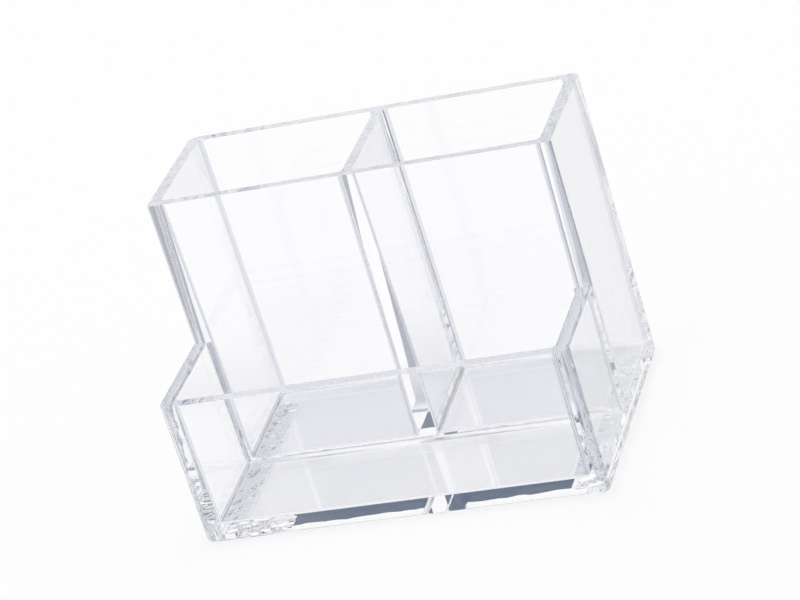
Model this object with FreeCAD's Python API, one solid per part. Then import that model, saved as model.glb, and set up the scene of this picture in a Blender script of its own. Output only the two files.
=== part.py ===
import FreeCAD, Part
import math
import os

# Clear pen holder: two tall pen bays side by side at the back, one low tray across the front.
# Millimetres. X runs left to right, Y front to back, Z up. The origin is on the surface that
# the holder stands on, under the middle of its outline. Clear panels are bonded edge to edge,
# and a fillet of clear cement rounds the inner corners of each bay. Outer faces stand upright.
# Inner faces lean by the draft angle, so each wall is thinnest at its rim. Two low strips under
# the base are the feet.

# Overall size, heights from the surface it stands on
width = 120.0
depth = 81.0
tall_height = 91.0
low_height = 46.0
tall_depth = 44.5

# Thicknesses, those of the walls at their rims
base_thickness = 4.3
side_rim = 3.6
back_rim = 3.0
divider_rim = 2.7
partition_rim = 3.0
front_rim = 3.4
draft_angle = 0.8

# Roundings
outer_corner_radius = 2.5
step_corner_radius = 1.0
base_edge_radius = 0.8
cement_radius = 1.2

# Foot strips
foot_height = 1.0
foot_width = 9.0
foot_length = 66.0
foot_side_inset = 3.0
foot_corner_radius = 2.5

# Places that follow from the sizes
left = -width / 2
right = width / 2
front = -depth / 2
back = depth / 2
divider_front = back - tall_depth
floor = foot_height + base_thickness
slope = math.tan(math.radians(draft_angle))

# How far a cutting block runs past the outline
over = 5.0


# Inner faces of the walls, each as its place at height z
def left_face(z):
    return left + side_rim + slope * (tall_height - z)


def right_face(z):
    return right - side_rim - slope * (tall_height - z)


def back_face(z):
    return back - back_rim - slope * (tall_height - z)


def divider_back(z):
    return divider_front + divider_rim + slope * (tall_height - z)


def divider_tray_face(z):
    return divider_front - slope * (low_height - z)


def front_face(z):
    return front + front_rim + slope * (low_height - z)


def partition_left(z):
    return -partition_rim / 2 - slope * (tall_height - z)


def partition_right(z):
    return partition_rim / 2 + slope * (tall_height - z)


def upright(place):
    """A face that doesn't lean, in the same form as those above."""
    return lambda z: place


outside_left = upright(left - over)
outside_right = upright(right + over)
outside_front = upright(front - over)
outside_back = upright(back + over)


def block(x_low, x_high, y_low, y_high, bottom, top):
    """Block between four flat faces that may lean, each given by its place at a height."""
    rings = []
    for z in (bottom, top):
        corners = [
            (x_low(z), y_low(z)),
            (x_high(z), y_low(z)),
            (x_high(z), y_high(z)),
            (x_low(z), y_high(z)),
        ]
        points = [FreeCAD.Vector(x, y, z) for x, y in corners]
        rings.append(Part.makePolygon(points + points[:1]))
    return Part.makeLoft(rings, True, True)


def upright_edges(shape, places):
    """The edges of a shape that stand upright at the given (x, y) places."""
    found = []
    for edge in shape.Edges:
        ends = [vertex.Point for vertex in edge.Vertexes]
        for x, y in places:
            if all(math.hypot(end.x - x, end.y - y) < 1e-6 for end in ends):
                found.append(edge)
    return found


def outline_block(y_low, bottom, top, front_radius):
    """Upright block over the full width from y_low to the back, with rounded edges."""
    shape = Part.makeBox(
        width, back - y_low, top - bottom, FreeCAD.Vector(left, y_low, bottom)
    )
    shape = shape.makeFillet(
        outer_corner_radius, upright_edges(shape, [(left, back), (right, back)])
    )
    return shape.makeFillet(
        front_radius, upright_edges(shape, [(left, y_low), (right, y_low)])
    )


def hollow(x_low, x_high, y_low, y_high, top):
    """The space of one bay with sharp corners, up to its rim."""
    return block(x_low, x_high, y_low, y_high, floor, top)


def lining(space, top):
    """The cement in a bay's corners: what rounding its upright and floor edges leaves."""
    edges = [edge for edge in space.Edges if edge.BoundBox.ZMin < top - 1e-6]
    return space.cut(space.makeFillet(cement_radius, edges))


# Outline of the whole holder: a low block, and a tall one behind the step
low_outline = outline_block(front, foot_height, low_height, outer_corner_radius)
base_edges = [edge for edge in low_outline.Edges if edge.BoundBox.ZMax < foot_height + 1e-6]
low_outline = low_outline.makeFillet(base_edge_radius, base_edges)
tall_outline = outline_block(divider_front, low_height, tall_height, step_corner_radius)
outline = low_outline.fuse(tall_outline).removeSplitter()


def wall(x_low, x_high, y_low, y_high):
    """The part of the outline above the base between the given faces."""
    return outline.common(block(x_low, x_high, y_low, y_high, floor, tall_height))


def base_plate():
    return outline.common(
        block(outside_left, outside_right, outside_front, outside_back, 0.0, floor)
    )


def divider_panel():
    """Wall between the tray and the pen bays, upright in front above the tray's rim."""
    lower = block(
        left_face, right_face, divider_tray_face, divider_back, floor, low_height
    )
    upper = block(
        left_face, right_face, upright(divider_front), divider_back, low_height, tall_height
    )
    return lower.fuse(upper).removeSplitter()


def foot_strip(x_low):
    """Low strip with rounded corners under the base, from x_low to the right."""
    y_low = -foot_length / 2
    strip = Part.makeBox(
        foot_width, foot_length, foot_height, FreeCAD.Vector(x_low, y_low, 0)
    )
    corners = [(x, y) for x in (x_low, x_low + foot_width) for y in (y_low, -y_low)]
    return strip.makeFillet(foot_corner_radius, upright_edges(strip, corners))


left_bay = hollow(left_face, partition_left, divider_back, back_face, tall_height)
right_bay = hollow(partition_right, right_face, divider_back, back_face, tall_height)
front_tray = hollow(left_face, right_face, front_face, divider_tray_face, low_height)

parts = {
    "base_plate": base_plate(),
    "left_side_panel": wall(outside_left, left_face, outside_front, outside_back),
    "right_side_panel": wall(right_face, outside_right, outside_front, outside_back),
    "back_panel": wall(left_face, right_face, back_face, outside_back),
    "divider_panel": divider_panel(),
    "bay_partition": block(
        partition_left, partition_right, divider_back, back_face, floor, tall_height
    ),
    "front_panel": block(
        left_face, right_face, upright(front), front_face, floor, low_height
    ),
    "left_bay_cement": lining(left_bay, tall_height),
    "right_bay_cement": lining(right_bay, tall_height),
    "front_tray_cement": lining(front_tray, low_height),
    "left_foot_strip": foot_strip(left + foot_side_inset),
    "right_foot_strip": foot_strip(right - foot_side_inset - foot_width),
}

os.makedirs("parts", exist_ok=True)
for name, shape in parts.items():
    solids = shape.Solids
    if len(solids) != 1:
        raise ValueError(f"{name} should be one solid, not {len(solids)}")
    solid = solids[0]
    solid.exportStep(f"parts/{name}.step")
    print(f"{name}: {solid.Volume:.1f} mm3, valid {solid.isValid()}")
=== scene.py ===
import math

import bmesh
import bpy
from bpy.props import (
    FloatProperty,
    FloatVectorProperty,
    IntProperty,
    PointerProperty,
    StringProperty,
)
from mathutils import Matrix, Vector
from mathutils.geometry import delaunay_2d_cdt


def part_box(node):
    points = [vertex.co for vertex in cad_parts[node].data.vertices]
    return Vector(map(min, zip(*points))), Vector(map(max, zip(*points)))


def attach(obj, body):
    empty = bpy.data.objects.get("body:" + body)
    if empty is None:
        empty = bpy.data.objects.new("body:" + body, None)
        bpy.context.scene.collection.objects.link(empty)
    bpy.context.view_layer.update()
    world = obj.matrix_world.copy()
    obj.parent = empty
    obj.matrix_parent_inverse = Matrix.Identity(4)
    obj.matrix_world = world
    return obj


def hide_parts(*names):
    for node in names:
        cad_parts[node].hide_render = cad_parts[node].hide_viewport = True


bl_info = {
    "name": "Clear pen holder",
    "version": (1, 0, 0),
    "blender": (4, 5, 0),
    "location": "View3D > Sidebar > Pen Holder",
    "description": "Clear desk pen holder, bonded from panels: two pen bays and a front tray",
    "category": "Object",
}

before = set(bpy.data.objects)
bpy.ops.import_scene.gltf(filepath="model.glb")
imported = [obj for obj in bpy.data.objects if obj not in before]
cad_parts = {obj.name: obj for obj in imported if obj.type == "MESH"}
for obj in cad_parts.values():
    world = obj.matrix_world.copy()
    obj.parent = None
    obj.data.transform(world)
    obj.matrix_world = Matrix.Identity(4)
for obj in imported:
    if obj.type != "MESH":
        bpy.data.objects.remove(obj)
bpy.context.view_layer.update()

MM = 0.001

# Two faces closer than this are the same face, in metres
SAME = 1e-7

# How far in front of a face the plastic of its neighbour is looked for
PROBE = 0.02 * MM

# Places of a section's limits in the tuple that section() gives
X_LOW, X_HIGH, Y_LOW, Y_HIGH = range(4)

# Slots of every piece's mesh
SKIN, RIM, JOINT, EDGE = range(4)

# The waves in a clear surface are strongest up to FLECKS_TO and at their calm share from
# CALM_FROM. They may be drawn out to stripes from STRIPES_FROM. Shares of the tray's height.
FLECKS_TO = 0.65
CALM_FROM = 1.3
STRIPES_FROM = 0.4

# Edges that turn less than this are shaded as one round surface, in degrees
SOFT_TURN = 20

# The paper: half its width, and how far it lies under the holder, so that they never coincide
PAPER_HALF = 3.0
PAPER_GAP = 0.05 * MM

# Outside the holder's outline, light from inside a wall passes the paper from the first
# distance, and all of it from the second. Where the paper lets it through, the dim studio beyond
# is painted shade along the holder's edges
PASS_FROM, PASS_ALL = 1 * MM, 8 * MM

# Light that has crossed several walls still passes by this share close to the outline, and not
# at all beyond the second distance
WALLS_SHARE = 0.7
WALLS_FROM, WALLS_TO = 5 * MM, 55 * MM

# Light Path counts in whole numbers: above the first is once or more, and below the second is
# light that has crossed one wall only
ONCE = 0.5
ONE_WALL = 2.5

# Rows of dark cards round the holder, in degrees: their azimuths from behind the holder towards
# its left, elevation, half width, half height, blur of the sides and blur of the ends
LOW_CARDS = (range(17, 377, 60), 29, 5, 5, 11, 3)
HIGH_CARDS = ((220, 280, 340), 62, 9, 7, 9, 6)
HORIZON_CARDS = (range(47, 407, 60), 8, 14, 6, 8, 4)

# The white line below the horizon: half its width and where it has faded out, in degrees, and
# how far down the horizon lies
LINE_HALF, LINE_FADED = 19, 33
HORIZON = -0.02

# Light crosses up to a dozen faces of the holder and is thrown back many times in its base
BOUNCES = 48
JOINT_BOUNCES = 64


class HolderShape(bpy.types.PropertyGroup):
    """Roundings of the holder. Its other sizes come from the frame."""

    cement_radius: FloatProperty(
        name="Cement radius",
        description="Radius of the set cement in the inner corners of each bay",
        default=1.2 * MM, unit="LENGTH",
    )
    outer_corner_radius: FloatProperty(
        name="Outer corner radius",
        description="Radius of the outline's upright corners",
        default=2.5 * MM, unit="LENGTH",
    )
    step_corner_radius: FloatProperty(
        name="Step corner radius",
        description="Radius of the tall part's two front corners",
        default=1.0 * MM, unit="LENGTH",
    )
    base_edge_radius: FloatProperty(
        name="Base edge radius",
        description="Rounding along the lower edge of the base",
        default=0.8 * MM, unit="LENGTH",
    )
    foot_corner_radius: FloatProperty(
        name="Foot corner radius",
        description="Radius of a foot strip's corners, seen from below",
        default=2.5 * MM, unit="LENGTH",
    )
    foot_edge_radius: FloatProperty(
        name="Foot edge radius",
        description="Rounding along the lower edge of a foot strip",
        default=0.9 * MM, unit="LENGTH",
    )
    arc_steps: IntProperty(
        name="Arc steps",
        description="Facets in each quarter round",
        default=14, min=4,
    )


class HolderFinish(bpy.types.PropertyGroup):
    """Colours and surface figures of the clear plastics."""

    sheet_colour: StringProperty(
        name="Sheet colour", description="Tint of the clear panels", default="#FEFEFF"
    )
    base_colour: StringProperty(
        name="Base colour", description="Tint of the thicker base plate", default="#FCFCFD"
    )
    # Grey-lavender: partly the haze of the sawn rims, partly painted shade
    rim_haze_and_shade_colour: StringProperty(
        name="Rim colour", description="Tint of the sawn and polished rims", default="#EBEDF3"
    )
    # Greyer than the sheet: painted shade of the dark lines along round corners
    shaded_edge_colour: StringProperty(
        name="Edge colour", description="Tint of the panels' outer corners", default="#F0F1F5"
    )
    # Darker than the other corners: painted shade of the dark flecks along the right panel's
    # corners
    right_edge_shade_colour: StringProperty(
        name="Right edge shade colour", description="Tint of the right panel's outer corners",
        default="#CACED8",
    )
    cement_colour: StringProperty(
        name="Cement colour", description="Tint of the set cement along the floor",
        default="#F9FAFD",
    )
    # Grey: painted shade of the dark lines in the bays' inner corners
    shaded_seam_colour: StringProperty(
        name="Seam colour", description="Tint of the set cement up a corner", default="#CBCFD9"
    )
    foot_colour: StringProperty(
        name="Foot colour", description="Tint of the foot strips", default="#E3E6EC"
    )
    side_colour: StringProperty(
        name="Foot side colour", description="Tint of the foot strips' rubbed sides",
        default="#FFFFFF",
    )
    sheet_index: FloatProperty(
        name="Sheet refractive index", description="Polystyrene bends light by this", default=1.59
    )
    foot_index: FloatProperty(
        name="Foot refractive index", description="Soft vinyl bends light by this", default=1.54
    )


class HolderStage(bpy.types.PropertyGroup):
    """Camera, floor and surroundings."""

    camera_place: FloatVectorProperty(
        name="Camera place",
        description="Where the camera stands",
        default=(0.308617, -0.791767, 0.438446), subtype="TRANSLATION", unit="LENGTH",
    )
    azimuth: FloatProperty(
        name="Azimuth",
        description="Angle that the camera stands to the right of the holder's front",
        default=math.radians(21.0995), subtype="ANGLE",
    )
    elevation: FloatProperty(
        name="Elevation",
        description="Angle that the camera looks down",
        default=math.radians(24.6829), subtype="ANGLE",
    )
    roll: FloatProperty(
        name="Roll",
        description="Angle that the camera is turned about its line of sight",
        default=math.radians(-17.63), subtype="ANGLE",
    )
    lens: FloatProperty(
        name="Lens", description="Focal length on a 36 mm frame, in mm", default=148.896
    )
    floor_colour: StringProperty(
        name="Floor colour", description="White paper sweep", default="#FEFEFE"
    )
    # Only light let through the paper sees this colour: painted shade along the holder's edges
    far_colour: StringProperty(
        name="Far colour", description="Studio to the sides, as the plastic's edges show it",
        default="#B0B2BB",
    )
    white_line: FloatProperty(
        name="White line", description="Angle to the left of straight back that stays white",
        default=math.radians(22), subtype="ANGLE",
    )
    wall_colour: StringProperty(
        name="Wall colour", description="Dark studio wall above the sweep", default="#54647A"
    )
    light_colour: StringProperty(
        name="Softbox colour", description="Panels of light beside the holder", default="#FFFFFF"
    )


def linear(code):
    """Linear colour, with alpha, of an sRGB hex value."""
    shares = [int(code[place:place + 2], 16) / 255 for place in (1, 3, 5)]
    return [s / 12.92 if s <= 0.04045 else ((s + 0.055) / 1.055) ** 2.4 for s in shares] + [1.0]


def section(node, height):
    """Limits in x and y of a CAD node's corners at one height."""
    spots = [v.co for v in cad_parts[node].data.vertices if abs(v.co.z - height) < SAME * 10]
    return (
        min(spot.x for spot in spots),
        max(spot.x for spot in spots),
        min(spot.y for spot in spots),
        max(spot.y for spot in spots),
    )


def leaning(start_height, start, end_height, end):
    """Place of a flat face at any height, from its places at two heights."""
    return lambda z: start + (end - start) * (z - start_height) / (end_height - start_height)


def wall_face(node, limit, top):
    """Place of a CAD wall's face at any height, from its foot on the floor and its rim."""
    return leaning(floor, section(node, floor)[limit], top, section(node, top)[limit])


# Outline and heights, from the frame
(left, front, foot_top), (right, back, floor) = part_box("base_plate")
tall_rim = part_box("back_panel")[1][2]
low_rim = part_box("front_panel")[1][2]
divider_front = section("divider_panel", tall_rim)[Y_LOW]

# Inner faces of the walls
left_face = wall_face("left_side_panel", X_HIGH, tall_rim)
right_face = wall_face("right_side_panel", X_LOW, tall_rim)
back_face = wall_face("back_panel", Y_LOW, tall_rim)
divider_back = wall_face("divider_panel", Y_HIGH, tall_rim)
partition_left = wall_face("bay_partition", X_LOW, tall_rim)
partition_right = wall_face("bay_partition", X_HIGH, tall_rim)
front_face = wall_face("front_panel", Y_HIGH, low_rim)
divider_tray_face = leaning(
    floor, section("divider_panel", floor)[Y_LOW], low_rim, divider_front
)


class Bay:
    """An open bay: the faces of its four walls, each a place at any height, and its rim."""

    def __init__(self, x_low, x_high, y_low, y_high, rim):
        self.x_low = x_low
        self.x_high = x_high
        self.y_low = y_low
        self.y_high = y_high
        self.rim = rim

    def limits(self, z, inset=0.0):
        """Limits in x and y at a height, drawn in by the inset."""
        return (
            self.x_low(z) + inset,
            self.x_high(z) - inset,
            self.y_low(z) + inset,
            self.y_high(z) - inset,
        )


bays = {
    "left_bay_cement": Bay(left_face, partition_left, divider_back, back_face, tall_rim),
    "right_bay_cement": Bay(partition_right, right_face, divider_back, back_face, tall_rim),
    "front_tray_cement": Bay(left_face, right_face, front_face, divider_tray_face, low_rim),
}
feet = {name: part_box(name) for name in ("left_foot_strip", "right_foot_strip")}


def shape():
    """The holder's roundings."""
    return bpy.context.scene.holder_shape


def quarter(steps):
    """Angles from 0 to a quarter turn."""
    return [math.pi / 2 * step / steps for step in range(steps + 1)]


def corners_of(limits):
    """Corners of a rectangle, anticlockwise from the front left, each with the way inwards."""
    x_low, x_high, y_low, y_high = limits
    return (
        (x_low, y_low, 1, 1),
        (x_high, y_low, -1, 1),
        (x_high, y_high, -1, -1),
        (x_low, y_high, 1, -1),
    )


def rounded(limits, radii, z):
    """Rounded rectangle at a height: four corners, each a list of points, anticlockwise from
    the front left."""
    corners = []
    for turn, (x, y, inward_x, inward_y) in enumerate(corners_of(limits)):
        radius = radii[turn]
        angles = [math.pi + turn * math.pi / 2 + angle for angle in quarter(shape().arc_steps)]
        corners.append([
            Vector((
                x + inward_x * radius + radius * math.cos(angle),
                y + inward_y * radius + radius * math.sin(angle),
                z,
            ))
            for angle in angles
        ])
    return corners


def within(x, y, limits, radii):
    """True inside a rounded rectangle."""
    x_low, x_high, y_low, y_high = limits
    if not (x_low < x < x_high and y_low < y < y_high):
        return False
    for radius, (corner_x, corner_y, inward_x, inward_y) in zip(radii, corners_of(limits)):
        across = radius - (x - corner_x) * inward_x
        along = radius - (y - corner_y) * inward_y
        if across > 0 and along > 0 and math.hypot(across, along) > radius:
            return False
    return True


def edge_inset(height, radius):
    """How far a rounded lower edge is drawn in at a height above its lowest point."""
    if height >= radius:
        return 0.0
    return radius - math.sqrt(radius ** 2 - (radius - height) ** 2)


def in_bay(bay, x, y, z):
    """True in the air of a bay, inside its rounded inner corners."""
    if not floor < z < bay.rim + PROBE * 2:
        return False
    radius = shape().cement_radius
    inset = edge_inset(z - floor, radius)
    return within(x, y, bay.limits(z, inset), [radius - inset] * 4)


def is_plastic(x, y, z):
    """True inside the bonded holder."""
    if z < foot_top:
        radii = [shape().foot_corner_radius] * 4
        return z > 0 and any(
            within(x, y, (low[0], high[0], low[1], high[1]), radii) for low, high in feet.values()
        )
    inset = edge_inset(z - foot_top, shape().base_edge_radius)
    near, front_radius = front, shape().outer_corner_radius
    if z > low_rim:
        near, front_radius = divider_front, shape().step_corner_radius
    back_radius = shape().outer_corner_radius
    radii = [radius - inset for radius in (front_radius, front_radius, back_radius, back_radius)]
    limits = (left + inset, right - inset, near + inset, back - inset)
    if z > tall_rim or not within(x, y, limits, radii):
        return False
    return not any(in_bay(bay, x, y, z) for bay in bays.values())


def new_face(bm, points):
    """A face over the points, made of new corners that are merged later."""
    return bm.faces.new([bm.verts.new(point) for point in points])


def loft(bm, rings, close_low=True, close_high=True):
    """Skin over a stack of rings with the same number of points, with its ends closed."""
    for lower, upper in zip(rings, rings[1:]):
        for here in range(len(lower)):
            there = (here + 1) % len(lower)
            new_face(bm, [lower[here], lower[there], upper[there], upper[here]])
    if close_low:
        new_face(bm, rings[0])
    if close_high:
        new_face(bm, rings[-1])


def flat(corners):
    """One ring of points from a list of corners."""
    return [point for corner in corners for point in corner]


def four_walls(x_low, x_high, y_low, y_high, heights):
    """Rings of a block between four faces, each a place at any height."""
    return [
        [
            Vector((x_low(z), y_low(z), z)),
            Vector((x_high(z), y_low(z), z)),
            Vector((x_high(z), y_high(z), z)),
            Vector((x_low(z), y_high(z), z)),
        ]
        for z in heights
    ]


def upright(place):
    """A face that doesn't lean."""
    return lambda z: place


def merge(bm):
    """Joins corners at the same place, drops faces that shrink to a line, and turns all faces
    outwards."""
    bmesh.ops.remove_doubles(bm, verts=bm.verts, dist=SAME)
    bmesh.ops.dissolve_degenerate(bm, edges=bm.edges, dist=SAME)
    bmesh.ops.recalc_face_normals(bm, faces=bm.faces)


def seams():
    """Planes along which the panels' faces change from open to bonded, each a point on it and
    its normal."""
    radius = shape().cement_radius
    planes = [
        (Vector((0, 0, floor + radius)), Vector((0, 0, 1))),
        (Vector((0, 0, low_rim)), Vector((0, 0, 1))),
    ]
    for bay in bays.values():
        rise = bay.rim - floor
        for face, inward in ((bay.x_low, 1), (bay.x_high, -1)):
            slope = (face(bay.rim) - face(floor)) / rise
            for inset in (0, radius * inward):
                planes.append((Vector((face(floor) + inset, 0, floor)), Vector((1, 0, -slope))))
        for face, inward in ((bay.y_low, 1), (bay.y_high, -1)):
            slope = (face(bay.rim) - face(floor)) / rise
            for inset in (0, radius * inward):
                planes.append((Vector((0, face(floor) + inset, floor)), Vector((0, 1, -slope))))
    return planes


def cut_at_seams(bm):
    """Cuts a panel's faces along every seam."""
    bmesh.ops.triangulate(bm, faces=bm.faces)
    for point, normal in seams():
        everything = bm.verts[:] + bm.edges[:] + bm.faces[:]
        bmesh.ops.bisect_plane(bm, geom=everything, dist=SAME, plane_co=point, plane_no=normal)
    bmesh.ops.triangulate(bm, faces=bm.faces)


def is_corner(normal):
    """True on the rounding of an upright corner."""
    return abs(normal.z) < 0.1 and 0.05 < abs(normal.x) < 0.998


def is_side(normal):
    """True all round a flat piece, but not on its upper and lower face."""
    return abs(normal.z) < 0.99


def sort_faces(bm, is_edge):
    """Gives each face its slot: bonded to a neighbour, rim, edge or open side."""
    for face in bm.faces:
        probe = face.calc_center_median() + face.normal * PROBE
        if is_plastic(*probe):
            face.material_index = JOINT
        elif face.normal.z > 0.9 and probe.z > low_rim:
            face.material_index = RIM
        elif is_edge(face.normal):
            face.material_index = EDGE
        else:
            face.material_index = SKIN


def make_piece(name, bm, finishes, is_edge=is_corner):
    """Turns a closed skin into a piece that stands for its CAD node."""
    merge(bm)
    cut_at_seams(bm)
    sort_faces(bm, is_edge)
    bmesh.ops.dissolve_limit(
        bm, angle_limit=math.radians(0.2), verts=bm.verts, edges=bm.edges, delimit={"MATERIAL"}
    )
    for face in bm.faces:
        face.smooth = True
    for edge in bm.edges:
        edge.smooth = edge.calc_face_angle(math.pi) < math.radians(SOFT_TURN)
    if any(not edge.is_manifold for edge in bm.edges):
        raise RuntimeError(f"{name} isn't closed")
    mesh = bpy.data.meshes.new(name)
    bm.to_mesh(mesh)
    bm.free()
    piece = bpy.data.objects.new(name + "_clear", mesh)
    bpy.context.scene.collection.objects.link(piece)
    for finish in finishes:
        mesh.materials.append(finish)
    flats_first = piece.modifiers.new("flat faces stay flat", "WEIGHTED_NORMAL")
    flats_first.keep_sharp = True
    flats_first.weight = 100
    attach(piece, "root")
    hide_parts(name)
    return piece


def add(tree, kind, values=None, links=None, **settings):
    """Adds a node with its settings, input values and links."""
    node = tree.nodes.new(kind)
    for key, value in settings.items():
        setattr(node, key, value)
    for key, value in (values or {}).items():
        node.inputs[key].default_value = value
    for key, socket in (links or {}).items():
        tree.links.new(socket, node.inputs[key])
    return node


def new_material(name):
    """A node material and whether it is new: empty, or the one already made under the name."""
    made = bpy.data.materials.get(name)
    if made:
        return made, False
    made = bpy.data.materials.new(name)
    made.use_nodes = True
    made.node_tree.nodes.clear()
    return made, True


def clear_plastic(name, colour, index, roughness, waves, calm=1.0, drawn=1.0):
    """A clear plastic whose surface rises and falls in soft waves. Each wave is its length and
    its height. Above the tray they shrink to the calm share. Where drawn is below 1, they are
    drawn out upwards above the foot of the walls, to stripes."""
    material, fresh = new_material(name)
    if not fresh:
        return material
    tree = material.node_tree
    places = add(tree, "ShaderNodeTexCoord")
    height = add(tree, "ShaderNodeSeparateXYZ", links={"Vector": places.outputs["Object"]})
    strength = add(
        tree, "ShaderNodeMapRange",
        values={
            "From Min": low_rim * FLECKS_TO, "From Max": low_rim * CALM_FROM,
            "To Min": 1.0, "To Max": calm,
        },
        links={"Value": height.outputs["Z"]}, interpolation_type="SMOOTHSTEP",
    )
    crowded = add(
        tree, "ShaderNodeMath", values={1: drawn, 2: low_rim * STRIPES_FROM * (1 - drawn)},
        links={0: height.outputs["Z"]}, operation="MULTIPLY_ADD",
    )
    lowest = add(
        tree, "ShaderNodeMath", links={0: height.outputs["Z"], 1: crowded.outputs["Value"]},
        operation="MINIMUM",
    )
    spread = add(
        tree, "ShaderNodeCombineXYZ",
        links={"X": height.outputs["X"], "Y": height.outputs["Y"], "Z": lowest.outputs["Value"]},
    )
    normal = None
    for length, rise in waves:
        swell = add(
            tree, "ShaderNodeTexNoise",
            values={"Scale": 1 / length, "Detail": 1.0, "Roughness": 0.4},
            links={"Vector": spread.outputs["Vector"]},
        )
        links = {"Height": swell.outputs["Fac"], "Strength": strength.outputs["Result"]}
        if normal:
            links["Normal"] = normal
        bump = add(tree, "ShaderNodeBump", values={"Distance": rise}, links=links)
        normal = bump.outputs["Normal"]
    plastic = add(
        tree, "ShaderNodeBsdfPrincipled",
        values={
            "Base Color": linear(colour),
            "Roughness": roughness,
            "IOR": index,
            "Transmission Weight": 1.0,
        },
        links={"Normal": normal},
    )
    add(tree, "ShaderNodeOutputMaterial", links={"Surface": plastic.outputs["BSDF"]})
    return material


def base_finishes():
    """Finishes of the base plate: those of a panel, but for its faces."""
    finish = bpy.context.scene.holder_finish
    # The same crystal polystyrene in a thicker plate, which takes a little more of the light
    face = clear_plastic(
        "crystal polystyrene plate", finish.base_colour, finish.sheet_index, 0.0,
        [(14 * MM, 0.008 * MM), (6 * MM, 0.01 * MM)],
    )
    return [face, *panel_finishes()[1:]]


def panel_finishes(right_edge_shaded=False):
    """Finishes of a panel: its faces, its rim, where it is bonded, and its outer edges."""
    finish = bpy.context.scene.holder_finish
    index = finish.sheet_index
    # Crystal polystyrene sheet, cast against polished metal: glass clear, with a faint flow that
    # solvent has raised near the base
    face = clear_plastic(
        "crystal polystyrene sheet", finish.sheet_colour, index, 0.0,
        [(14 * MM, 0.008 * MM), (6 * MM, 0.01 * MM)], calm=0.3,
    )
    # The same, sawn and flame polished: soft ripples that break the light along the rim. Its
    # grey-lavender tint is partly the haze of the sawn rim and partly painted shade: the grey of
    # the dim base seen down the wall.
    rim = clear_plastic(
        "flame polished polystyrene", finish.rim_haze_and_shade_colour, index, 0.03,
        [(4 * MM, 0.035 * MM), (1.5 * MM, 0.010 * MM)],
    )
    # The same at the upright corners, buffed round, with long soft stripes. Its tint, greyer than
    # the faces, is painted shade of the dark lines that round corners show.
    edge = clear_plastic(
        "buffed polystyrene edge", finish.shaded_edge_colour, index, 0.0,
        [(5 * MM, 0.90 * MM), (1.8 * MM, 0.25 * MM)], calm=0.3, drawn=0.1,
    )
    # The same at the right panel's upright corners, darker, with stronger waves that make flecks.
    # Its darker tint is painted shade of the dark flecks that these corners show.
    if right_edge_shaded:
        edge = clear_plastic(
            "polystyrene edge with painted shade", finish.right_edge_shade_colour, index, 0.0,
            [(5 * MM, 1.10 * MM), (1.8 * MM, 0.40 * MM)], calm=0.3, drawn=0.1,
        )
    return [face, rim, bonded(), edge]


def cement_finishes():
    """Finishes of the set cement."""
    finish = bpy.context.scene.holder_finish
    # Solvent cement, run in by hand along the floor: clear, and dulled so that it looks white
    face = clear_plastic(
        "set solvent cement", finish.cement_colour, finish.sheet_index, 0.3,
        [(6 * MM, 0.12 * MM), (2 * MM, 0.03 * MM)],
    )
    # The same up a corner, where it ran down and set thicker, in waves that make flecks. Its grey
    # tint is painted shade of the dark lines in the inner corners.
    seam = clear_plastic(
        "solvent cement in a corner", finish.shaded_seam_colour, finish.sheet_index, 0.0,
        [(5 * MM, 0.80 * MM), (2 * MM, 0.20 * MM)], calm=0.3, drawn=0.1,
    )
    return [face, seam, bonded(), seam]


def foot_finishes():
    """Finishes of a foot strip."""
    finish = bpy.context.scene.holder_finish
    # Soft vinyl, pressed: clear, crumpled where it grips, which shows as a light and dark pattern
    face = clear_plastic(
        "clear soft vinyl", finish.foot_colour, finish.foot_index, 0.0,
        [(6 * MM, 2.6 * MM), (3 * MM, 0.35 * MM)],
    )
    # The same round its sides, rubbed dull: a pale outline that shows through the floor
    side = clear_plastic(
        "rubbed soft vinyl", finish.side_colour, finish.foot_index, 0.45, [(6 * MM, 0.8 * MM)]
    )
    return [face, face, bonded(), side]


def bonded():
    """Where two pieces are bonded they melt into one: the face can't be seen."""
    material, fresh = new_material("bonded joint")
    if fresh:
        tree = material.node_tree
        through = add(tree, "ShaderNodeBsdfTransparent")
        add(tree, "ShaderNodeOutputMaterial", links={"Surface": through.outputs["BSDF"]})
    return material


class HOLDER_OT_base(bpy.types.Operator):
    """Base plate with rounded corners and a rounded lower edge"""

    bl_idname = "holder.base"
    bl_label = "Base plate"

    def execute(self, context):
        corner = shape().outer_corner_radius
        edge = shape().base_edge_radius
        rings = []
        for angle in quarter(shape().arc_steps):
            inset = edge * (1 - math.sin(angle))
            z = foot_top + edge * (1 - math.cos(angle))
            limits = (left + inset, right - inset, front + inset, back - inset)
            rings.append(flat(rounded(limits, [corner - inset] * 4, z)))
        rings.append(flat(rounded((left, right, front, back), [corner] * 4, floor)))
        bm = bmesh.new()
        loft(bm, rings, close_low=False)
        outlines = [rings[0]] + [foot_ring(box, foot_top) for box in feet.values()]
        spots = []
        edges = []
        for outline in outlines:
            first = len(spots)
            spots += [Vector((point.x, point.y)) / MM for point in outline]
            edges += [
                (first + here, first + (here + 1) % len(outline)) for here in range(len(outline))
            ]
        found, _, triangles, *_ = delaunay_2d_cdt(spots, edges, [], 1, 1e-6)
        for triangle in triangles:
            new_face(bm, [Vector((found[i].x * MM, found[i].y * MM, foot_top)) for i in triangle])
        make_piece("base_plate", bm, base_finishes())
        return {"FINISHED"}


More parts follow.
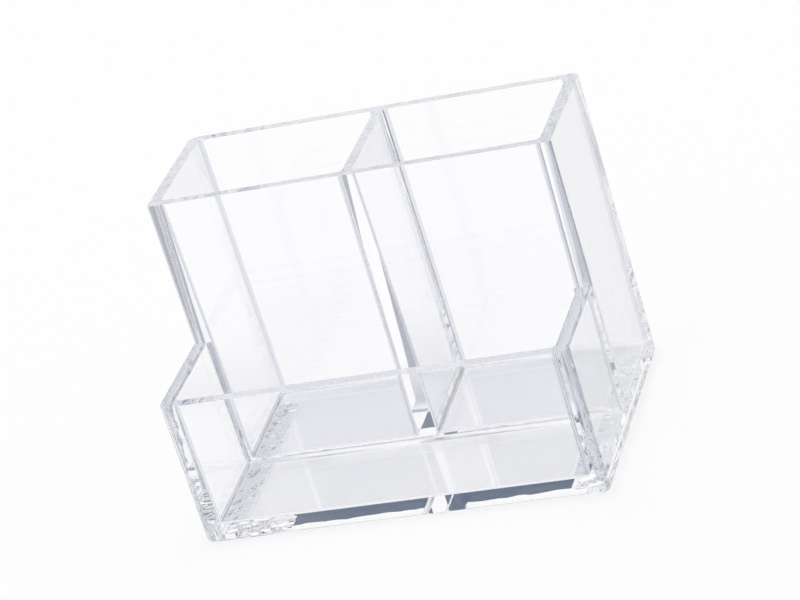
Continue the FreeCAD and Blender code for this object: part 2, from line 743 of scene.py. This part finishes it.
def side_panel(name, outer, face, inward):
    """Stepped side wall. Its outline is drawn from its outer face inwards."""
    corner = shape().outer_corner_radius
    step = shape().step_corner_radius

    def arc(y, radius, outward):
        """Quarter round from the outer face to the end face at y, which looks outward."""
        return [
            (
                outer + inward * radius * (1 - math.cos(angle)),
                y - outward * radius * (1 - math.sin(angle)),
            )
            for angle in quarter(shape().arc_steps)
        ]

    def ring(z, spots):
        return [Vector((x, y, z)) for x, y in spots]

    back_arc = arc(back, corner, 1)
    front_arc = arc(front, corner, -1)
    step_arc = arc(divider_front, step, -1)
    low_rings = [
        ring(z, front_arc[::-1] + [(outer, divider_front + step)] + back_arc
             + [(face(z), back), (face(z), divider_front), (face(z), front)])
        for z in (floor, low_rim)
    ]
    tall_rings = [
        ring(z, step_arc[::-1] + back_arc + [(face(z), back), (face(z), divider_front)])
        for z in (low_rim, tall_rim)
    ]
    step_face = ring(
        low_rim,
        front_arc[::-1] + step_arc + [(face(low_rim), divider_front), (face(low_rim), front)],
    )
    bm = bmesh.new()
    loft(bm, low_rings, close_high=False)
    loft(bm, tall_rings, close_low=False)
    new_face(bm, step_face)
    # The right panel's corners take the darker tint: painted shade
    make_piece(name, bm, panel_finishes(right_edge_shaded=inward < 0))


class HOLDER_OT_side_panels(bpy.types.Operator):
    """The two side walls, stepped from the tall rim down to the tray's rim"""

    bl_idname = "holder.side_panels"
    bl_label = "Side panels"

    def execute(self, context):
        side_panel("left_side_panel", left, left_face, 1)
        side_panel("right_side_panel", right, right_face, -1)
        return {"FINISHED"}


class HOLDER_OT_cross_panels(bpy.types.Operator):
    """Back, divider, partition and front walls between the side panels"""

    bl_idname = "holder.cross_panels"
    bl_label = "Cross panels"

    def execute(self, context):
        tall = (floor, tall_rim)
        walls = {
            "back_panel": four_walls(left_face, right_face, back_face, upright(back), tall),
            "bay_partition": four_walls(
                partition_left, partition_right, divider_back, back_face, tall
            ),
            "front_panel": four_walls(
                left_face, right_face, upright(front), front_face, (floor, low_rim)
            ),
            "divider_panel": four_walls(
                left_face, right_face, lambda z: min(divider_tray_face(z), divider_front),
                divider_back, (floor, low_rim, tall_rim),
            ),
        }
        for name, rings in walls.items():
            bm = bmesh.new()
            loft(bm, rings)
            make_piece(name, bm, panel_finishes())
        return {"FINISHED"}


def cement_skin(bay):
    """Closed skin of the cement in a bay: a fillet round the floor and up each corner."""
    radius = shape().cement_radius
    levels = [
        (floor + radius * (1 - math.cos(angle)), radius * (1 - math.sin(angle)))
        for angle in quarter(shape().arc_steps)
    ]
    rows = [rounded(bay.limits(z, inset), [radius - inset] * 4, z) for z, inset in levels]
    top = rounded(bay.limits(bay.rim), [radius] * 4, bay.rim)
    sharp = {z: flat(rounded(bay.limits(z), [0.0] * 4, z))[::shape().arc_steps + 1]
             for z in (floor, floor + radius, bay.rim)}
    bm = bmesh.new()
    loft(bm, [flat(row) for row in rows], close_low=False, close_high=False)
    for turn in range(4):
        following = (turn + 1) % 4
        lower, upper = rows[-1][turn], top[turn]
        for here, there in zip(range(len(lower)), range(1, len(lower))):
            new_face(bm, [lower[here], lower[there], upper[there], upper[here]])
            new_face(bm, [upper[here], upper[there], sharp[bay.rim][turn]])
        foot, elbow, head = (sharp[z][turn] for z in sharp)
        next_foot, next_elbow, _ = (sharp[z][following] for z in sharp)
        new_face(bm, [foot, next_foot, rows[0][following][0], rows[0][turn][0]])
        new_face(bm, [foot, next_foot, next_elbow, rows[-1][following][0], lower[-1], elbow])
        new_face(bm, [elbow, lower[-1], upper[-1], head])
        new_face(bm, [elbow, lower[0], upper[0], head])
    return bm


class HOLDER_OT_cement(bpy.types.Operator):
    """Fillets of set cement in the inner corners of each bay"""

    bl_idname = "holder.cement"
    bl_label = "Cement fillets"

    def execute(self, context):
        for name, bay in bays.items():
            make_piece(name, cement_skin(bay), cement_finishes())
        return {"FINISHED"}


def foot_ring(box, z, inset=0.0):
    """Outline of a foot strip, drawn in by the inset."""
    low, high = box
    limits = (low[0] + inset, high[0] - inset, low[1] + inset, high[1] - inset)
    return flat(rounded(limits, [shape().foot_corner_radius - inset] * 4, z))


class HOLDER_OT_foot_strips(bpy.types.Operator):
    """Low strips under the left and right side of the base"""

    bl_idname = "holder.foot_strips"
    bl_label = "Foot strips"

    def execute(self, context):
        edge = shape().foot_edge_radius
        for name, box in feet.items():
            rings = [
                foot_ring(box, edge * (1 - math.cos(angle)), edge * (1 - math.sin(angle)))
                for angle in quarter(shape().arc_steps)
            ]
            bm = bmesh.new()
            loft(bm, rings + [foot_ring(box, foot_top)])
            make_piece(name, bm, foot_finishes(), is_side)
        return {"FINISHED"}


def place_camera(stage):
    """Camera at the photograph's place, looking down and rolled about its line of sight."""
    data = bpy.data.cameras.new("camera")
    data.sensor_width = 36
    data.lens = stage.lens
    camera = bpy.data.objects.new("camera", data)
    bpy.context.scene.collection.objects.link(camera)
    camera.matrix_world = (
        Matrix.Translation(stage.camera_place)
        @ Matrix.Rotation(stage.azimuth, 4, "Z")
        @ Matrix.Rotation(math.pi / 2 - stage.elevation, 4, "X")
        @ Matrix.Rotation(stage.roll, 4, "Z")
    )
    bpy.context.scene.camera = camera


def make_floor(stage):
    """White paper that the holder stands on, which keeps its shadow. It turns see-through for light
    thrown back inside the walls, as painted shade along the holder's edges.
    """
    bm = bmesh.new()
    limits = (-PAPER_HALF, PAPER_HALF, -PAPER_HALF, PAPER_HALF)
    new_face(bm, [Vector((x, y, -PAPER_GAP)) for x, y, _, _ in corners_of(limits)])
    mesh = bpy.data.meshes.new("paper_floor")
    bm.to_mesh(mesh)
    bm.free()
    paper = bpy.data.objects.new("paper_floor", mesh)
    bpy.context.scene.collection.objects.link(paper)
    # Uncoated white paper: matte, with no pattern that would show at this size. For light that has
    # run along inside a wall, thrown back by its faces, the paper beside and behind the holder
    # turns see-through, so that it meets the studio's dimmer sides instead. This is painted shade,
    # which draws the holder's edges.
    material, _ = new_material("uncoated white paper")
    tree = material.node_tree
    path = add(tree, "ShaderNodeLightPath")
    place = add(tree, "ShaderNodeNewGeometry")
    spot = add(tree, "ShaderNodeSeparateXYZ", links={"Vector": place.outputs["Position"]})
    across = add(tree, "ShaderNodeMath", links={0: spot.outputs["X"]}, operation="ABSOLUTE")
    beside = add(
        tree, "ShaderNodeMath", values={1: right}, links={0: across.outputs["Value"]},
        operation="SUBTRACT",
    )
    behind = add(
        tree, "ShaderNodeMath", values={1: back}, links={0: spot.outputs["Y"]}, operation="SUBTRACT"
    )
    past_front = add(
        tree, "ShaderNodeMath", values={1: front}, links={0: spot.outputs["Y"]},
        operation="SUBTRACT",
    )
    either = add(
        tree, "ShaderNodeMath", links={0: beside.outputs["Value"], 1: behind.outputs["Value"]},
        operation="MAXIMUM",
    )
    outside = add(
        tree, "ShaderNodeMath", links={0: either.outputs["Value"], 1: past_front.outputs["Value"]},
        operation="MINIMUM",
    )
    far = add(
        tree, "ShaderNodeMapRange",
        values={"From Min": PASS_FROM, "From Max": PASS_ALL, "To Min": 0.0, "To Max": 1.0},
        links={"Value": outside.outputs["Value"]}, interpolation_type="SMOOTHSTEP",
    )
    thrown_back = add(
        tree, "ShaderNodeMath", values={1: ONCE}, links={0: path.outputs["Glossy Depth"]},
        operation="GREATER_THAN",
    )
    in_one_wall = add(
        tree, "ShaderNodeMath", values={1: ONE_WALL}, links={0: path.outputs["Transmission Depth"]},
        operation="LESS_THAN",
    )
    close = add(
        tree, "ShaderNodeMapRange",
        values={
            "From Min": WALLS_FROM, "From Max": WALLS_TO, "To Min": WALLS_SHARE, "To Max": 0.0,
        },
        links={"Value": outside.outputs["Value"]}, interpolation_type="SMOOTHSTEP",
    )
    along_walls = add(
        tree, "ShaderNodeMath",
        links={0: in_one_wall.outputs["Value"], 1: close.outputs["Result"]}, operation="MAXIMUM",
    )
    passed = path.outputs["Is Transmission Ray"]
    for share in (
        thrown_back.outputs["Value"], along_walls.outputs["Value"], far.outputs["Result"]
    ):
        passed = add(
            tree, "ShaderNodeMath", links={0: share, 1: passed}, operation="MULTIPLY"
        ).outputs["Value"]
    matte = add(tree, "ShaderNodeBsdfDiffuse", values={"Color": linear(stage.floor_colour)})
    through = add(tree, "ShaderNodeBsdfTransparent")
    both = add(
        tree, "ShaderNodeMixShader",
        links={0: passed, 1: matte.outputs["BSDF"], 2: through.outputs["BSDF"]},
    )
    add(tree, "ShaderNodeOutputMaterial", links={"Surface": both.outputs["Shader"]})
    mesh.materials.append(material)


def dark_card(tree, toward, azimuth, elevation, half_width, half_height, side_blur, end_blur):
    """Share of one dark card in what a direction sees, with soft edges. Angles in degrees, the
    azimuth from behind the holder towards its left."""
    turn, rise = math.radians(azimuth), math.radians(elevation)
    ahead = Vector((
        -math.sin(turn) * math.cos(rise), math.cos(turn) * math.cos(rise), math.sin(rise)
    ))
    across = Vector((math.cos(turn), math.sin(turn), 0))
    up = across.cross(ahead)

    def along(axis):
        return add(
            tree, "ShaderNodeVectorMath", values={1: axis},
            links={0: toward.outputs["Generated"]}, operation="DOT_PRODUCT",
        ).outputs["Value"]

    depth = along(ahead)
    share = add(
        tree, "ShaderNodeMapRange", values={"From Min": 0.0, "From Max": 0.05},
        links={"Value": depth},
    ).outputs["Result"]
    for axis, half, soft in ((across, half_width, side_blur), (up, half_height, end_blur)):
        edge = math.tan(math.radians(half))
        blur = math.tan(math.radians(half + soft))
        place = add(
            tree, "ShaderNodeMath", links={0: along(axis), 1: depth}, operation="DIVIDE"
        ).outputs["Value"]
        size = add(tree, "ShaderNodeMath", links={0: place}, operation="ABSOLUTE").outputs["Value"]
        inside = add(
            tree, "ShaderNodeMapRange",
            values={"From Min": edge, "From Max": blur, "To Min": 1.0, "To Max": 0.0},
            links={"Value": size}, interpolation_type="SMOOTHSTEP",
        ).outputs["Result"]
        share = add(
            tree, "ShaderNodeMath", links={0: share, 1: inside}, operation="MULTIPLY"
        ).outputs["Value"]
    return share


def make_surroundings(stage):
    """Studio round the holder. What the camera sees directly, and what lights matte things, is
    plain white. Clear plastic also shows the dark cards that stand between the softboxes."""
    world = bpy.data.worlds.new("white studio")
    world.use_nodes = True
    tree = world.node_tree
    tree.nodes.clear()
    bpy.context.scene.world = world
    path = add(tree, "ShaderNodeLightPath")
    toward = add(tree, "ShaderNodeTexCoord")
    colour = add(tree, "ShaderNodeRGB").outputs["Color"]
    colour.default_value = linear(stage.light_colour)
    for azimuths, *card in (LOW_CARDS, HIGH_CARDS, HORIZON_CARDS):
        for azimuth in azimuths:
            share = dark_card(tree, toward, azimuth, *card)
            colour = add(
                tree, "ShaderNodeMix", data_type="RGBA",
                values={7: linear(stage.wall_colour)}, links={0: share, 6: colour},
            ).outputs[2]
    # Below the horizon the studio is white along one line across the holder and dim to its sides.
    # Only light let through the paper sees it there, so the dim sides are painted shade along the
    # holder's edges.
    parts = add(tree, "ShaderNodeSeparateXYZ", links={"Vector": toward.outputs["Generated"]})
    level = add(
        tree, "ShaderNodeCombineXYZ", links={"X": parts.outputs["X"], "Y": parts.outputs["Y"]}
    )
    heading = add(
        tree, "ShaderNodeVectorMath", links={0: level.outputs["Vector"]}, operation="NORMALIZE"
    )
    turn = stage.white_line
    along = add(
        tree, "ShaderNodeVectorMath", values={1: (-math.sin(turn), math.cos(turn), 0)},
        links={0: heading.outputs["Vector"]}, operation="DOT_PRODUCT",
    )
    either_way = add(
        tree, "ShaderNodeMath", links={0: along.outputs["Value"]}, operation="ABSOLUTE"
    )
    off_line = add(
        tree, "ShaderNodeMapRange",
        values={
            "From Min": math.cos(math.radians(LINE_FADED)),
            "From Max": math.cos(math.radians(LINE_HALF)),
            "To Min": 1.0, "To Max": 0.0,
        },
        links={"Value": either_way.outputs["Value"]}, interpolation_type="SMOOTHSTEP",
    )
    below = add(
        tree, "ShaderNodeMath", values={1: HORIZON}, links={0: parts.outputs["Z"]},
        operation="LESS_THAN",
    )
    dim = add(
        tree, "ShaderNodeMath", links={0: off_line.outputs["Result"], 1: below.outputs["Value"]},
        operation="MULTIPLY",
    )
    colour = add(
        tree, "ShaderNodeMix", data_type="RGBA",
        values={7: linear(stage.far_colour)}, links={0: dim.outputs["Value"], 6: colour},
    ).outputs[2]
    clear = add(
        tree, "ShaderNodeMath",
        links={0: path.outputs["Is Glossy Ray"], 1: path.outputs["Is Transmission Ray"]},
        operation="MAXIMUM",
    )
    matte = add(
        tree, "ShaderNodeMath", values={1: ONCE}, links={0: path.outputs["Diffuse Depth"]},
        operation="GREATER_THAN",
    )
    seen = add(
        tree, "ShaderNodeMath", links={0: clear.outputs["Value"], 1: matte.outputs["Value"]},
        operation="SUBTRACT", use_clamp=True,
    )
    plain = add(tree, "ShaderNodeBackground", values={"Color": linear("#FFFFFF"), "Strength": 1.0})
    studio = add(
        tree, "ShaderNodeBackground", values={"Strength": 1.0}, links={"Color": colour}
    )
    both = add(
        tree, "ShaderNodeMixShader",
        links={
            0: seen.outputs["Value"],
            1: plain.outputs["Background"],
            2: studio.outputs["Background"],
        },
    )
    add(tree, "ShaderNodeOutputWorld", links={"Surface": both.outputs["Shader"]})


class HOLDER_OT_stage(bpy.types.Operator):
    """Camera, white floor and studio surroundings"""

    bl_idname = "holder.stage"
    bl_label = "Stage"

    def execute(self, context):
        stage = context.scene.holder_stage
        place_camera(stage)
        make_floor(stage)
        make_surroundings(stage)
        context.scene.view_settings.view_transform = "Standard"
        cycles = context.scene.cycles
        cycles.max_bounces = BOUNCES
        cycles.transmission_bounces = BOUNCES
        cycles.glossy_bounces = BOUNCES
        cycles.transparent_max_bounces = JOINT_BOUNCES
        # Light that reaches the paper through the holder isn't blurred on its way
        cycles.blur_glossy = 0
        return {"FINISHED"}


class HOLDER_PT_panel(bpy.types.Panel):
    """Pieces of the pen holder and its stage"""

    bl_idname = "HOLDER_PT_panel"
    bl_label = "Clear pen holder"
    bl_space_type = "VIEW_3D"
    bl_region_type = "UI"
    bl_category = "Pen Holder"

    def draw(self, context):
        layout = self.layout
        for name, kind in SETTINGS.items():
            for key in kind.__annotations__:
                layout.prop(getattr(context.scene, name), key)
        for operator in OPERATORS:
            layout.operator(operator.bl_idname)


SETTINGS = {
    "holder_shape": HolderShape,
    "holder_finish": HolderFinish,
    "holder_stage": HolderStage,
}
OPERATORS = (
    HOLDER_OT_base,
    HOLDER_OT_side_panels,
    HOLDER_OT_cross_panels,
    HOLDER_OT_cement,
    HOLDER_OT_foot_strips,
    HOLDER_OT_stage,
)


def register():
    for kind in (*SETTINGS.values(), *OPERATORS, HOLDER_PT_panel):
        bpy.utils.register_class(kind)
    for name, kind in SETTINGS.items():
        setattr(bpy.types.Scene, name, PointerProperty(type=kind))


def unregister():
    for name in SETTINGS:
        delattr(bpy.types.Scene, name)
    for kind in (HOLDER_PT_panel, *reversed(OPERATORS), *SETTINGS.values()):
        bpy.utils.unregister_class(kind)


def main():
    register()
    bpy.ops.holder.base()
    bpy.ops.holder.side_panels()
    bpy.ops.holder.cross_panels()
    bpy.ops.holder.cement()
    bpy.ops.holder.foot_strips()
    bpy.ops.holder.stage()


if __name__ == "__main__":
    main()
